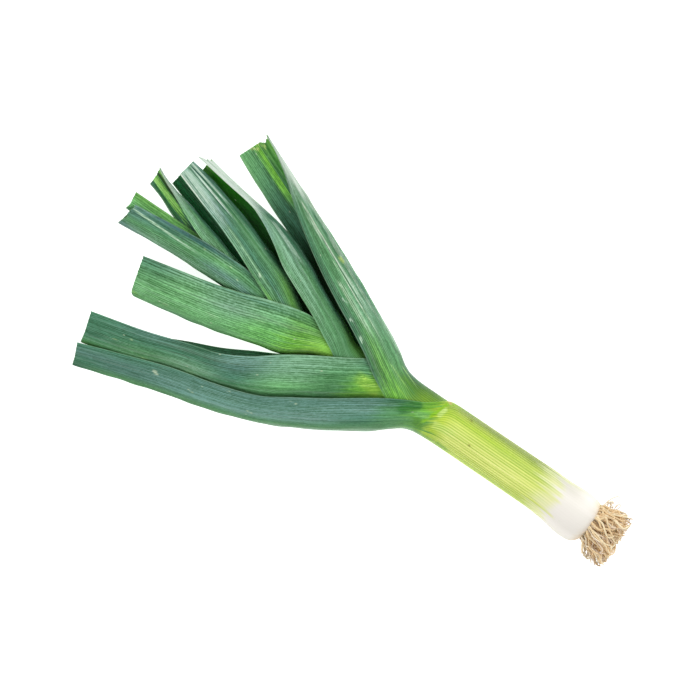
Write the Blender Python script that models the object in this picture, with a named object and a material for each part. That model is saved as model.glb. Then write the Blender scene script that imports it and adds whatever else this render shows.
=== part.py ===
"""A leek, pulled and trimmed, lying on its side.

The plant is a fan of long leaves. Each leaf is one piece: a tubular sheath that starts at the
root plate and, past its collar, opens into a folded blade. The sheaths nest inside each other
and make the white and pale green shank. The blades leave it by turns to the left and to the
right, and their ends are cut. A short root plate closes the shank and carries the roots.

X runs along the shank, with the roots at +X and the leaf ends at -X. Y is across the fan of
leaves, and Z is up. The leek rests on the plane Z = 0.
All sizes below are in millimetres. MM turns them into Blender's metres.
"""

import math
import random

import bpy
import bmesh
from mathutils import Vector

MM = 0.001

# ---- Driving dimensions ---------------------------------------------------------------------

SHEATH_WALL = 1.25          # thickness of one sheath
NEST_GAP = 0.40             # clear space between two nested sheaths
BLADE_WALL = [(0.0, 1.25), (4.0, 0.95), (300.0, 0.85)]   # by distance from the collar
OUTER_SHEATH_BORE = 14.75   # inner radius of the outermost sheath

# Outer radius of the shank along X: a straight shank that swells into a bulb at the root end.
SHANK_PROFILE = [
    (-130.0, 16.0), (-90.0, 16.05), (-50.0, 16.2), (-32.0, 16.6), (-20.0, 17.5),
    (-11.0, 18.4), (-5.0, 18.6), (-1.5, 18.0), (0.4, 16.8), (1.4, 15.5),
]
# The bulb swells more to one side: sideways place of its outer surface's middle along X.
BULB_DRIFT = [(-130.0, 0.0), (-42.0, 0.0), (-12.0, -1.55), (-3.0, -1.6), (1.4, -0.4)]
# Height of the middle of the nested sheaths, straight from knot to knot: the shank leans on
# its bulb, and past the outermost collar the leaves droop.
BUNDLE_HEIGHT = [(-390.0, 9.6), (-300.0, 12.6), (-200.0, 15.8), (-130.0, 16.0), (-5.0, 18.6)]

INNER_SHEATH_START = -3.2   # where the nested sheaths meet the root plate

PLATE_RADIUS = 14.2
PLATE_BACK = -2.9
PLATE_RIM = 1.2
PLATE_DOME = 2.6

ROOT_COUNT = 30
ROOT_RADIUS = 0.80
ROOT_TIP_RADIUS = 0.50
ROOT_FIELD = 12.0           # radius of the disc that roots start from
GOLDEN_ANGLE = math.radians(137.508)
ROOT_LENGTHS = (19.0, 24.5)
ROOT_SPREAD = 0.55          # how much further apart the roots are at their tips
ROOT_SIDES = 6
ROOT_RINGS = 6

PLATE_CHAMFER = 0.8
PLATE_SIDES = 24
DOME_RINGS = 5

HALF_COLUMNS = 8            # facets from the fold of a leaf to each margin
MERGE = 1e-7                # metres; joins only points that are the same

# How a blade unrolls past its collar: distance from the collar, and the angle in degrees
# from the fold to the margin. 180 is a closed tube and 90 an open gutter. Each distance is
# also a station of the blade's loft, and FAR_STATIONS more follow, evenly to the cut end.
UNROLL = [(0.0, 180.0), (2.0, 170.0), (4.5, 156.0), (7.5, 140.0), (11.0, 127.0), (16.0, 115.5),
          (24.0, 104.0), (36.0, 95.5), (52.0, 90.5), (70.0, 90.0)]
FAR_STATIONS = 5

# How a blade closes up away from the bundle: distance from the collar, and the share of the
# sheath's radius that its halves still stand off at.
NARROWING = [(0.0, 1.0), (48.0, 1.0), (75.0, 0.72), (110.0, 0.42), (160.0, 0.16), (230.0, 0.0),
             (400.0, 0.0)]

# ---- The leaves ------------------------------------------------------------------------------
# fold, front and back are outlines in plan past the collar: the folded edge of the blade, the
# margin of its upper half and the margin of its lower half. side is -1 where the fold faces -Y
# and +1 where it faces +Y. sag is how far the cut end hangs below the bundle's middle, and
# tip_rise and tip_fall are how far the upper and lower halves stand off the fold there. lift
# raises both halves by distance from the collar, and least_turn keeps a blade rounder.
# turn_front and turn_back replace UNROLL towards the cut end, by fraction of the blade's length.

LEAVES = [
    {
        "name": "leaf_left_1", "side": -1, "collar": -122.0, "color": (0.20, 0.36, 0.24),
        "fold": [(-135, -16.8), (-141, -18.3), (-150, -24.4), (-160, -32.6), (-172, -40.8),
                 (-200, -58), (-230, -73), (-260, -83.5), (-300, -94.3), (-360, -112)],
        "front": [(-126, 15.5), (-131, 11.8), (-135, 8.6), (-140, 5), (-150, 0), (-165, -8.5),
                  (-180, -18.5), (-200, -32.2), (-220, -45), (-240, -57), (-270, -67),
                  (-300, -74.5), (-365, -97.5)],
        "back": [(-126, 15.5), (-131, 11.8), (-135, 8.4), (-140, 4.4), (-150, -1.5),
                 (-165, -11), (-180, -21), (-200, -35), (-220, -48), (-240, -60), (-270, -70),
                 (-300, -77.5), (-365, -99)],
        "sag": 4.6, "tip_rise": 5.4, "tip_fall": 4.2,
    },
    {
        "name": "leaf_right_1", "side": 1, "collar": -150.0, "color": (0.19, 0.35, 0.22),
        "fold": [(-158, 15.2), (-165, 17.8), (-175, 24.3), (-190, 32.2), (-210, 42.2),
                 (-230, 51.7), (-260, 65), (-300, 82.5), (-337.5, 98)],
        "front": [(-153, -14.1), (-158, -12.2), (-165, -8.5), (-180, -0.5), (-192, 7.4),
                  (-210, 17.5), (-230, 27.7), (-250, 38.6), (-270, 51), (-290, 65),
                  (-308, 79.5), (-325, 91), (-337, 97)],
        "back": [(-153, -14.2), (-158, -12.7), (-165, -9.5), (-180, -2.5), (-200, 8),
                 (-220, 18), (-240, 29), (-260, 40.5), (-280, 48), (-300, 55), (-320, 63.5),
                 (-345.5, 75)],
        "turn_front": [(0.5, 90), (1, 80)],
        "turn_back": [(0.5, 90), (0.75, 110), (1, 140)],
        "sag": 2.6, "tip_rise": 3.0, "tip_fall": 8.5,
    },
    {
        "name": "leaf_left_2", "side": -1, "collar": -162.0, "color": (0.22, 0.42, 0.24),
        "fold": [(-168, -13.4), (-174, -16.4), (-180, -20.5), (-190, -27.5), (-200, -34),
                 (-215, -43.4), (-230, -52.9), (-250, -62.5), (-270, -68.8), (-300, -76),
                 (-330, -86.2), (-364, -95)],
        "front": [(-168, 12.3), (-176, 11.4), (-185, 9.4), (-192, 6.6), (-200, 1.5),
                  (-220, -10), (-240, -22.5), (-260, -37.5), (-280, -48), (-300, -54),
                  (-330, -64), (-369, -74)],
        "back": [(-168, 12.3), (-176, 11.4), (-185, 9.4), (-195, 5.5), (-210, -2.5),
                 (-230, -15.5), (-243, -24), (-260, -33), (-280, -43.8), (-300, -52.4),
                 (-330, -65.6), (-369, -76)],
        "sag": 2.6, "tip_rise": 4.6, "tip_fall": 4.6,
    },
    {
        "name": "leaf_right_2", "side": 1, "collar": -196.0, "color": (0.27, 0.42, 0.29),
        "fold": [(-203, 11.6), (-210, 15.4), (-220, 20.5), (-240, 29.5), (-260, 39.5),
                 (-280, 47.6), (-300, 52.2), (-330, 56.6), (-361, 61.8)],
        "front": [(-203, -10.1), (-208, -7.2), (-213, -3.4), (-225, 3), (-240, 11),
                  (-260, 20), (-275, 27), (-290, 37), (-305, 45.4), (-318, 50.4),
                  (-340, 53.6), (-369, 58)],
        "back": [(-203, -10.2), (-209, -8.2), (-216, -5.5), (-230, -1), (-250, 6),
                 (-270, 13), (-290, 21.5), (-310, 31), (-330, 40.5), (-361, 52)],
        "sag": 2.0, "tip_rise": 4.0, "tip_fall": 4.2,
    },
    {
        "name": "leaf_left_3", "side": -1, "collar": -214.0, "color": (0.28, 0.50, 0.26),
        "fold": [(-222, -11.2), (-230, -15.7), (-243, -23.4), (-260, -28), (-280, -33.5), (-300, -38.5),
                 (-320, -42.5), (-340, -46.2), (-354, -48.2)],
        "front": [(-221, 9.7), (-230, 10.4), (-240, 10.1), (-250, 8.6), (-270, 3),
                  (-290, -4), (-310, -9.6), (-335, -15.3), (-361, -21)],
        "back": [(-221, 9.7), (-230, 10), (-240, 9), (-250, 7), (-270, 1), (-290, -6), (-310, -11.6),
                 (-335, -17.3), (-361, -22.4)],
        "sag": 1.6, "tip_rise": 4.2, "tip_fall": 4.2,
    },
    {
        "name": "leaf_right_3", "side": 1, "collar": -238.0, "color": (0.30, 0.50, 0.33),
        "fold": [(-244, 9.2), (-250, 12.6), (-256, 17), (-262, 21.2), (-270, 25.4),
                 (-290, 31.8), (-310, 38.6), (-330, 44.6), (-350, 49.8), (-370, 53.2)],
        "front": [(-245, -7.2), (-253, -5.2), (-262, -1.6), (-271, 2.5), (-290, 10.5), (-310, 19.2),
                  (-330, 26.8), (-350, 33.2), (-372, 40.6)],
        "back": [(-245, -7.3), (-253, -6.4), (-262, -4.2), (-280, 0.6), (-300, 7.5),
                 (-320, 15), (-340, 22.4), (-358, 27.6), (-373.5, 32.5)],
        "sag": 1.2, "tip_rise": 3.8, "tip_fall": 4.0, "lift": [(0, 0), (20, 0.3), (200, 0.3)],
    },
    {
        "name": "leaf_left_4", "side": -1, "collar": -266.0, "color": (0.20, 0.40, 0.29),
        "fold": [(-272, -7.4), (-285, -8.2), (-303, -7.4), (-330, -7.8), (-360, -9.2),
                 (-389, -11.4)],
        "front": [(-272, 7.4), (-285, 10.4), (-300, 12), (-320, 12), (-345, 9.9), (-365, 7.8),
                  (-386, 5.4)],
        "back": [(-272, 5.5), (-285, 5.6), (-300, 5.6), (-320, 5), (-345, 3), (-365, 0.5),
                 (-387.5, -2)],
        "least_turn": 116,
        "sag": 0.8, "tip_rise": 5.4, "tip_fall": 5.4, "lift": [(0, 0), (20, 0.35), (200, 0.35)],
    },
    {
        "name": "leaf_right_4", "side": 1, "collar": -282.0, "color": (0.18, 0.36, 0.24),
        "fold": [(-290, 7), (-300, 11.2), (-315, 16.3), (-330, 20.4), (-345, 24.6),
                 (-360, 28.2), (-375, 31.4), (-386.5, 37)],
        "front": [(-288, -4), (-298, -1.5), (-308, 2.6), (-320, 7.6), (-335, 12),
                  (-350, 18.2), (-365, 25.4), (-376, 30.2), (-386, 35.8)],
        "back": [(-288, -4), (-298, -2), (-308, 1), (-320, 4.8), (-335, 8), (-350, 10.8),
                 (-360, 13.6), (-374, 19.6), (-386, 23.2)],
        "turn_back": [(0.5, 90), (0.7, 110), (1, 135)],
        "sag": 0.6, "tip_rise": 2.6, "tip_fall": 4.2,
    },
    {
        "name": "leaf_left_5", "side": -1, "collar": -300.0, "color": (0.26, 0.55, 0.24),
        "fold": [(-310, -2.4), (-330, -2), (-350, -1.2), (-370, -0.4), (-390.5, 0.2)],
        "front": [(-308, 5), (-325, 7.2), (-345, 7.2), (-365, 5.4), (-387, 3.6)],
        "back": [(-308, 7), (-325, 11.5), (-345, 13.1), (-370, 13.2), (-391, 13.3)],
        "sag": 0.2, "tip_rise": 2.6, "tip_fall": 2.8,
    },
]


# ---- Curves and profiles ---------------------------------------------------------------------

def hermite(knots, values, at):
    """The smooth curve through values at rising knots, read at one place. Its slope at a knot
    is the harmonic mean of the slopes beside it, so it never overshoots."""
    last = len(knots) - 1
    at = min(max(at, knots[0]), knots[last])
    i = 0
    while i < last - 1 and at > knots[i + 1]:
        i += 1

    def slope(k):
        if k == 0:
            return (values[1] - values[0]) / (knots[1] - knots[0])
        if k == last:
            return (values[last] - values[last - 1]) / (knots[last] - knots[last - 1])
        left = (values[k] - values[k - 1]) / (knots[k] - knots[k - 1])
        right = (values[k + 1] - values[k]) / (knots[k + 1] - knots[k])
        return 2 * left * right / (left + right) if left * right > 0 else 0.0

    span = knots[i + 1] - knots[i]
    t = (at - knots[i]) / span
    a = 2 * t ** 3 - 3 * t ** 2 + 1
    b = t ** 3 - 2 * t ** 2 + t
    c = -2 * t ** 3 + 3 * t ** 2
    d = t ** 3 - t ** 2
    return a * values[i] + b * span * slope(i) + c * values[i + 1] + d * span * slope(i + 1)


def profile(pairs, at):
    """A (place, value) list read as a smooth curve."""
    return hermite([pair[0] for pair in pairs], [pair[1] for pair in pairs], at)


class Outline:
    """A smooth plan curve through points, read by the fraction of its length."""

    def __init__(self, points):
        self.xs = [float(point[0]) for point in points]
        self.ys = [float(point[1]) for point in points]
        self.knots = [0.0]
        for (x0, y0), (x1, y1) in zip(points[:-1], points[1:]):
            self.knots.append(self.knots[-1] + math.hypot(x1 - x0, y1 - y0))
        self.length = self.knots[-1]

    def at(self, fraction):
        place = fraction * self.length
        return (hermite(self.knots, self.xs, place), hermite(self.knots, self.ys, place))


def shank_radius(x):
    return profile(SHANK_PROFILE, x)


def bundle_height(x):
    """Height of the middle of the nested sheaths at x, straight between its knots."""
    for (x0, z0), (x1, z1) in zip(BUNDLE_HEIGHT[:-1], BUNDLE_HEIGHT[1:]):
        if x <= x1 or x1 == BUNDLE_HEIGHT[-1][0]:
            return z0 + (z1 - z0) * (x - x0) / (x1 - x0)


# ---- Leaves ----------------------------------------------------------------------------------

def leaf_section(fold, front, back, z, turns, stands, wall):
    """One cross-section of a leaf: its outer and inner points, back margin to front margin.

    fold, front and back are plan points. turns are the angles from fold to margin, and stands
    are the distances of the two halves from the fold's height, both front first.
    """
    outer = []
    inner = []
    for column in range(-HALF_COLUMNS, HALF_COLUMNS + 1):
        upper = column >= 0
        margin = front if upper else back
        turn = math.radians(turns[0] if upper else turns[1])
        stand = stands[0] if upper else -stands[1]
        across = Vector((margin[0] - fold[0], margin[1] - fold[1]))
        width = across.length / (1 - math.cos(turn))
        across.normalize()
        angle = turn * abs(column) / HALF_COLUMNS
        for points, inset in ((outer, 0.0), (inner, wall)):
            reach = width - (width - inset) * math.cos(angle)
            lift = (abs(stand) - inset) * math.sin(angle)
            points.append(Vector((
                fold[0] + across.x * reach,
                fold[1] + across.y * reach,
                z + math.copysign(lift, stand),
            )))
    return outer, inner


def sheath_section(x, side, outer_radius, inner_radius, drift=0.0):
    """A closed ring of the sheath, its columns starting and ending opposite the fold."""
    height = bundle_height(x)
    outer = []
    inner = []
    for column in range(-HALF_COLUMNS, HALF_COLUMNS + 1):
        angle = math.pi * column / HALF_COLUMNS
        for points, radius, shift in ((outer, outer_radius, drift), (inner, inner_radius, 0.0)):
            points.append(Vector((
                x,
                shift + side * radius * math.cos(angle),
                height + radius * math.sin(angle),
            )))
    return outer, inner


def leaf_radius(rank):
    """Outer radius of the sheath of the leaf that is rank places in from the outside."""
    return OUTER_SHEATH_BORE + SHEATH_WALL - rank * (SHEATH_WALL + NEST_GAP)


def sheath_sections(leaf, rank):
    radius = leaf_radius(rank)
    bore = radius - SHEATH_WALL
    if rank == 0:
        places = [place for place, _ in reversed(SHANK_PROFILE)]
        places[-1] = leaf["collar"]
        return [sheath_section(x, leaf["side"], shank_radius(x), bore, profile(BULB_DRIFT, x))
                for x in places]
    places = [INNER_SHEATH_START]
    places += [x for x, _ in reversed(BUNDLE_HEIGHT) if leaf["collar"] < x < INNER_SHEATH_START]
    places.append(leaf["collar"])
    return [sheath_section(x, leaf["side"], radius, bore) for x in places]


def blade_sections(leaf, rank):
    side = leaf["side"]
    radius = leaf_radius(rank)
    collar = leaf["collar"]
    fold = Outline([(collar, side * radius)] + leaf["fold"])
    front = Outline([(collar, -side * radius)] + leaf["front"])
    back = Outline([(collar, -side * radius)] + leaf["back"])
    distances = [distance for distance, _ in UNROLL[1:]]
    rest = fold.length - distances[-1]
    distances += [distances[-1] + rest * step / FAR_STATIONS
                  for step in range(1, FAR_STATIONS + 1)]
    sections = []
    for distance in distances:
        fraction = distance / fold.length
        fold_at = fold.at(fraction)
        front_at = front.at(fraction)
        back_at = back.at(fraction)
        unroll = max(profile(UNROLL, distance), leaf.get("least_turn", 90.0))
        turns = [unroll, unroll]
        for half, key in enumerate(("turn_front", "turn_back")):
            if key in leaf and fraction > leaf[key][0][0]:
                turns[half] = profile(leaf[key], fraction)
        held = profile(NARROWING, distance)
        lift = profile(leaf["lift"], distance) if "lift" in leaf else 0.0
        stands = [
            leaf["tip_rise"] + (radius - leaf["tip_rise"]) * held + lift,
            leaf["tip_fall"] + (radius - leaf["tip_fall"]) * held + lift,
        ]
        z = bundle_height(0.5 * (fold_at[0] + front_at[0])) - leaf["sag"] * fraction ** 3
        wall = profile(BLADE_WALL, distance)
        sections.append(leaf_section(fold_at, front_at, back_at, z, turns, stands, wall))
    return sections


def loft_leaf(leaf, rank):
    """The leaf as one closed body: its sheath, then the blade that the sheath opens into."""
    closed = sheath_sections(leaf, rank)
    opened = blade_sections(leaf, rank)
    sections = closed + opened
    columns = 2 * HALF_COLUMNS + 1
    mesh = bmesh.new()
    outer = [[mesh.verts.new(point * MM) for point in section[0]] for section in sections]
    inner = [[mesh.verts.new(point * MM) for point in section[1]] for section in sections]
    for row in range(len(sections) - 1):
        for column in range(columns - 1):
            mesh.faces.new((outer[row][column], outer[row][column + 1],
                            outer[row + 1][column + 1], outer[row + 1][column]))
            mesh.faces.new((inner[row][column], inner[row + 1][column],
                            inner[row + 1][column + 1], inner[row][column + 1]))
        if row >= len(closed) - 1:
            for column in (0, columns - 1):
                mesh.faces.new((outer[row][column], outer[row + 1][column],
                                inner[row + 1][column], inner[row][column]))
    for row in (0, len(sections) - 1):
        for column in range(columns - 1):
            mesh.faces.new((outer[row][column], inner[row][column],
                            inner[row][column + 1], outer[row][column + 1]))
    bmesh.ops.remove_doubles(mesh, verts=mesh.verts, dist=MERGE)
    bmesh.ops.recalc_face_normals(mesh, faces=mesh.faces)
    return mesh


# ---- Root plate and roots --------------------------------------------------------------------

def root_plate():
    """The short stem under the leaves: a flat back, a round rim and a shallow dome."""
    height = bundle_height(0.0)
    mesh = bmesh.new()
    rim_radius = PLATE_RADIUS - 0.5
    profile_points = [(PLATE_BACK, 0.0), (PLATE_BACK, PLATE_RADIUS - PLATE_CHAMFER),
                      (PLATE_BACK + PLATE_CHAMFER, PLATE_RADIUS), (PLATE_RIM, rim_radius)]
    for ring in range(1, DOME_RINGS):
        angle = 0.5 * math.pi * ring / DOME_RINGS
        profile_points.append((PLATE_RIM + (PLATE_DOME - PLATE_RIM) * math.sin(angle),
                               rim_radius * math.cos(angle)))
    profile_points.append((PLATE_DOME, 0.0))
    verts = [mesh.verts.new((x * MM, r * MM, height * MM)) for x, r in profile_points]
    edges = [mesh.edges.new(pair) for pair in zip(verts[:-1], verts[1:])]
    centre = Vector((0.0, 0.0, height * MM))
    bmesh.ops.spin(mesh, geom=verts + edges, cent=centre, axis=(1, 0, 0), angle=2 * math.pi,
                   steps=PLATE_SIDES, use_merge=True)
    bmesh.ops.remove_doubles(mesh, verts=mesh.verts, dist=MERGE)
    bmesh.ops.recalc_face_normals(mesh, faces=mesh.faces)
    return mesh


def root_starts():
    """Places on the plate where roots start: a sunflower layout, evenly apart."""
    starts = []
    for number in range(ROOT_COUNT):
        reach = ROOT_FIELD * math.sqrt((number + 0.5) / ROOT_COUNT)
        angle = number * GOLDEN_ANGLE
        starts.append((reach * math.cos(angle), reach * math.sin(angle)))
    return starts


def root_path(y, z, length):
    """Points along one root. All roots follow one smooth flow, so they spread and curl as a
    tuft and never cross."""
    height = bundle_height(0.0)
    points = []
    for ring in range(ROOT_RINGS + 1):
        share = ring / ROOT_RINGS
        x = PLATE_DOME + 0.4 + length * share
        spread = 1 + ROOT_SPREAD * share ** 0.8
        curl = 1.9 * share * math.sin(5.2 * share + 0.16 * y + 0.12 * z) - 1.8 * share
        lift = 1.4 * share * math.cos(4.6 * share + 0.13 * y - 0.15 * z)
        points.append(Vector((x, y * spread + curl, height + z * spread + lift)))
    return points


def tube(points, radii, sides):
    """A closed tube along points, with flat ends."""
    mesh = bmesh.new()
    rings = []
    for i, point in enumerate(points):
        ahead = points[min(i + 1, len(points) - 1)] - points[max(i - 1, 0)]
        turn = ahead.to_track_quat("X", "Z")
        ring = []
        for side in range(sides):
            angle = 2 * math.pi * side / sides
            offset = Vector((0, math.cos(angle), math.sin(angle))) * radii[i]
            ring.append(mesh.verts.new((point + turn @ offset) * MM))
        rings.append(ring)
    for near, far in zip(rings[:-1], rings[1:]):
        for side in range(sides):
            after = (side + 1) % sides
            mesh.faces.new((near[side], near[after], far[after], far[side]))
    mesh.faces.new(rings[0])
    mesh.faces.new(rings[-1])
    bmesh.ops.recalc_face_normals(mesh, faces=mesh.faces)
    return mesh


# ---- Objects ---------------------------------------------------------------------------------

def add_object(name, mesh, color, roughness):
    data = bpy.data.meshes.new(name)
    mesh.to_mesh(data)
    mesh.free()
    data.shade_smooth()
    data.set_sharp_from_angle(angle=math.radians(40))
    material = bpy.data.materials.new(name)
    material.use_nodes = True
    shader = material.node_tree.nodes["Principled BSDF"]
    shader.inputs["Base Color"].default_value = (*color, 1.0)
    shader.inputs["Roughness"].default_value = roughness
    shader.inputs["Metallic"].default_value = 0.0
    material.diffuse_color = (*color, 1.0)
    data.materials.append(material)
    obj = bpy.data.objects.new(name, data)
    bpy.context.scene.collection.objects.link(obj)
    return obj


def build():
    for old in list(bpy.data.objects):
        bpy.data.objects.remove(old, do_unlink=True)
    pieces = []
    for rank, leaf in enumerate(LEAVES):
        pieces.append(add_object(leaf["name"], loft_leaf(leaf, rank), leaf["color"], 0.45))
    pieces.append(add_object("root_plate", root_plate(), (0.62, 0.50, 0.34), 0.8))
    rng = random.Random(11)
    for number, (y, z) in enumerate(root_starts(), start=1):
        length = rng.uniform(*ROOT_LENGTHS)
        points = root_path(y, z, length)
        radii = [ROOT_RADIUS + (ROOT_TIP_RADIUS - ROOT_RADIUS) * ring / ROOT_RINGS
                 for ring in range(ROOT_RINGS + 1)]
        mesh = tube(points, radii, ROOT_SIDES)
        pieces.append(add_object(f"root_{number:02d}", mesh, (0.70, 0.56, 0.38), 0.85))
    stand_on_origin(pieces)
    return pieces


def stand_on_origin(pieces):
    """Moves the leek so that the origin is at the bottom centre of its box."""
    corners = [vertex.co for piece in pieces for vertex in piece.data.vertices]
    low = Vector([min(corner[axis] for corner in corners) for axis in range(3)])
    high = Vector([max(corner[axis] for corner in corners) for axis in range(3)])
    middle = (low + high) / 2
    for piece in pieces:
        piece.location = (-middle.x, -middle.y, -low.z)
    bpy.context.view_layer.update()


build()
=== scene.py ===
"""A leek lying on its side: the looks.

Nine leaves, each a nested sheath that opens into a folded blade, are modelled here with their
veins, keels, ragged cut ends and waxy colour. Fine curled roots grow from the root plate.
The design is laid out in millimetres with the shank along X, the roots at +X and its own origin
on the shank's axis at the root plate. DESIGN_ORIGIN, read from the frame, places it.
"""
import math

import bpy
import numpy as np
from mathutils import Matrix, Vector


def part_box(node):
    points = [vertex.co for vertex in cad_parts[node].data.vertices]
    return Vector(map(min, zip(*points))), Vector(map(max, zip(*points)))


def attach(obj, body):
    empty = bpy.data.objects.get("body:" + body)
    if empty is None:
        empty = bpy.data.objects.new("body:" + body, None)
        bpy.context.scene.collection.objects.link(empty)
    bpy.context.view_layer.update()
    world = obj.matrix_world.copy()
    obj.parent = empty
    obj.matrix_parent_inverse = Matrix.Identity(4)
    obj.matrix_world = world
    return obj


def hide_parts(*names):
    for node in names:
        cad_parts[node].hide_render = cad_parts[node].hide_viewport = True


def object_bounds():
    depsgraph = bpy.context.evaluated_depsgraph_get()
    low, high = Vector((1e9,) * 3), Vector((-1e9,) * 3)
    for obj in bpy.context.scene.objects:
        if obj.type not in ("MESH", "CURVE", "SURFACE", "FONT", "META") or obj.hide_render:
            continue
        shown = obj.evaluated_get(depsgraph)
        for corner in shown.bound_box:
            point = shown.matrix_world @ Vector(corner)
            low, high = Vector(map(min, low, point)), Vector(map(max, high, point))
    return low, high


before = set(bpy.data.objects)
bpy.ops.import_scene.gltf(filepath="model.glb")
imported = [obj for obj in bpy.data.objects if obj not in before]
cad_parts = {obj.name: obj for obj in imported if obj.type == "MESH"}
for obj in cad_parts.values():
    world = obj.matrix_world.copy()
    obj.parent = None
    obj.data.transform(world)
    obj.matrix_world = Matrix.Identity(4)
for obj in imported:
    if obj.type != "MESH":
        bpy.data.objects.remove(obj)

CAD_BOX = [list(corner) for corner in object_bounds()]
MM = 0.001

# ---- The leek's own dimensions, as in the CAD except where a comment says otherwise ----

SHEATH_WALL = 1.25
NEST_GAP = 0.40
BLADE_WALL = [(0.0, 1.25), (4.0, 0.95), (300.0, 0.85)]  # by distance from the collar
OUTER_SHEATH_BORE = 14.75
# The shank's outer radius along X. From X = -12 on it is rounder and longer than the CAD's.
SHANK_PROFILE = [
    (-130.0, 16.0), (-90.0, 16.05), (-50.0, 16.2), (-32.0, 16.6), (-20.0, 17.5),
    (-12.0, 18.3), (-7.0, 18.2), (-3.5, 17.6), (-1.0, 16.7), (0.8, 15.4), (2.0, 14.1), (2.6, 13.0),
]
BULB_DRIFT = [(-130.0, 0.0), (-42.0, 0.0), (-12.0, -1.55), (-3.0, -1.6), (1.4, -0.4)]
# The height of the middle of the nested sheaths, straight from knot to knot.
BUNDLE_HEIGHT = [(-390.0, 9.6), (-300.0, 12.6), (-200.0, 15.8), (-130.0, 16.0), (-5.0, 18.6)]
BULB_HEIGHT = 18.6           # the height of the root plate's middle
INNER_SHEATH_START = -3.2
PLATE_BACK = -2.9
ROOT_COUNT = 30
# How many degrees each half of a leaf turns from fold to margin, and how much of its sheath's
# height over its tip's it keeps, both by distance past its collar.
UNROLL = [(0.0, 180.0), (2.0, 170.0), (4.5, 156.0), (7.5, 140.0), (11.0, 127.0), (16.0, 115.5),
          (24.0, 104.0), (36.0, 95.5), (52.0, 90.5), (70.0, 90.0)]
NARROWING = [(0.0, 1.0), (48.0, 1.0), (75.0, 0.72), (110.0, 0.42), (160.0, 0.16), (230.0, 0.0),
             (400.0, 0.0)]

PLATE_LOW, PLATE_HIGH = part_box("root_plate")
DESIGN_ORIGIN = np.array([
    PLATE_LOW[0] - PLATE_BACK * MM,
    0.5 * (PLATE_LOW[1] + PLATE_HIGH[1]),
    0.5 * (PLATE_LOW[2] + PLATE_HIGH[2]) - BULB_HEIGHT * MM,
])

# ---- Leaves ----

# The leek's colours, in sRGB, from the white bulb to the pale leaf tips. The darkest green is painted
# shadow, and the whitest tip colour is the wax's pale bloom with a painted highlight on it.
SKIN = {
    "tan": (220, 195, 160), "cream": (240, 225, 200), "white": (245, 240, 232),
    "pearl": (215, 212, 198), "butter": (238, 238, 180), "lemon": (226, 235, 130),
    "straw": (210, 215, 160), "celery": (190, 208, 98), "lime": (186, 212, 78),
    "grass": (148, 182, 58), "moss": (145, 160, 85), "herb": (110, 150, 50),
    "sprout": (150, 215, 90), "apple": (120, 185, 75), "meadow": (100, 155, 75),
    "bright": (112, 180, 98), "forest": (50, 95, 45), "bottle": (30, 90, 18),
    "emerald": (55, 130, 35), "night": (28, 62, 40), "dark": (60, 100, 75), "pine": (75, 122, 95),
    "jade": (42, 100, 60), "leaf": (90, 142, 95), "fresh": (110, 168, 110),
    "mint": (120, 165, 130), "teal": (86, 124, 110), "blue": (105, 145, 130),
    "steel": (130, 170, 150), "grey": (155, 180, 158), "silver": (190, 215, 195),
    "frost": (226, 243, 231),
}

# fold, front and back are plan outlines past the collar: the folded edge, the upper half's
# margin and the lower half's margin. veins counts the veins across the whole leaf. turn_front
# and turn_back take UNROLL's place past their first share of the leaf's length, and least_turn
# is the least that a leaf turns. sag is how far the tip hangs, tip_rise and tip_fall are how
# far the two halves stand from the fold's height at the tip, and lift is added to both. cut is
# how far the cut end stops short of the outline, by place across the leaf: -1 is the lower
# margin, 0 the fold and +1 the upper margin.
# outer and inner are the colours of the two faces along X, each a row of colours from the fold
# to the margin, and contrast is how much they vary from vein to vein. upper_marks are streaks
# and spots on the upper half's outer face, and gutter_marks lie in the gutter that the lower
# half's inner face makes: from one plan point to another, then half their width, their colour
# and how strong they are.

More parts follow.
